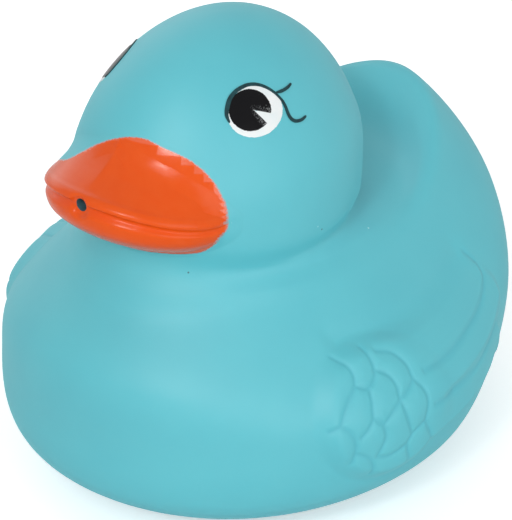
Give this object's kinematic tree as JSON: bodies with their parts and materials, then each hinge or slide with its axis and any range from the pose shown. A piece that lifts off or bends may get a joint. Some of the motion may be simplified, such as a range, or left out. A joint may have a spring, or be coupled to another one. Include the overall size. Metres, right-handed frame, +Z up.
{
  "type": "rubber duck",
  "caption": "Hollow soft vinyl bath duck with a broad bill, moulded feather wings, an upswept tail and a squirt hole.",
  "frame": {"origin": "middle of the flat base", "axes": "+Z up; the duck faces -Y; +X is the duck's left; symmetric about the plane X = 0"},
  "size_m": [0.1042, 0.1168, 0.0995],
  "materials": {
    "vinyl": "satin turquoise soft vinyl",
    "bill_paint": "glossy orange paint",
    "eye_white": "white paint",
    "eye_black": "black paint"
  },
  "bodies": {
    "root": {"duck": "vinyl"}
  },
  "joints": []
}
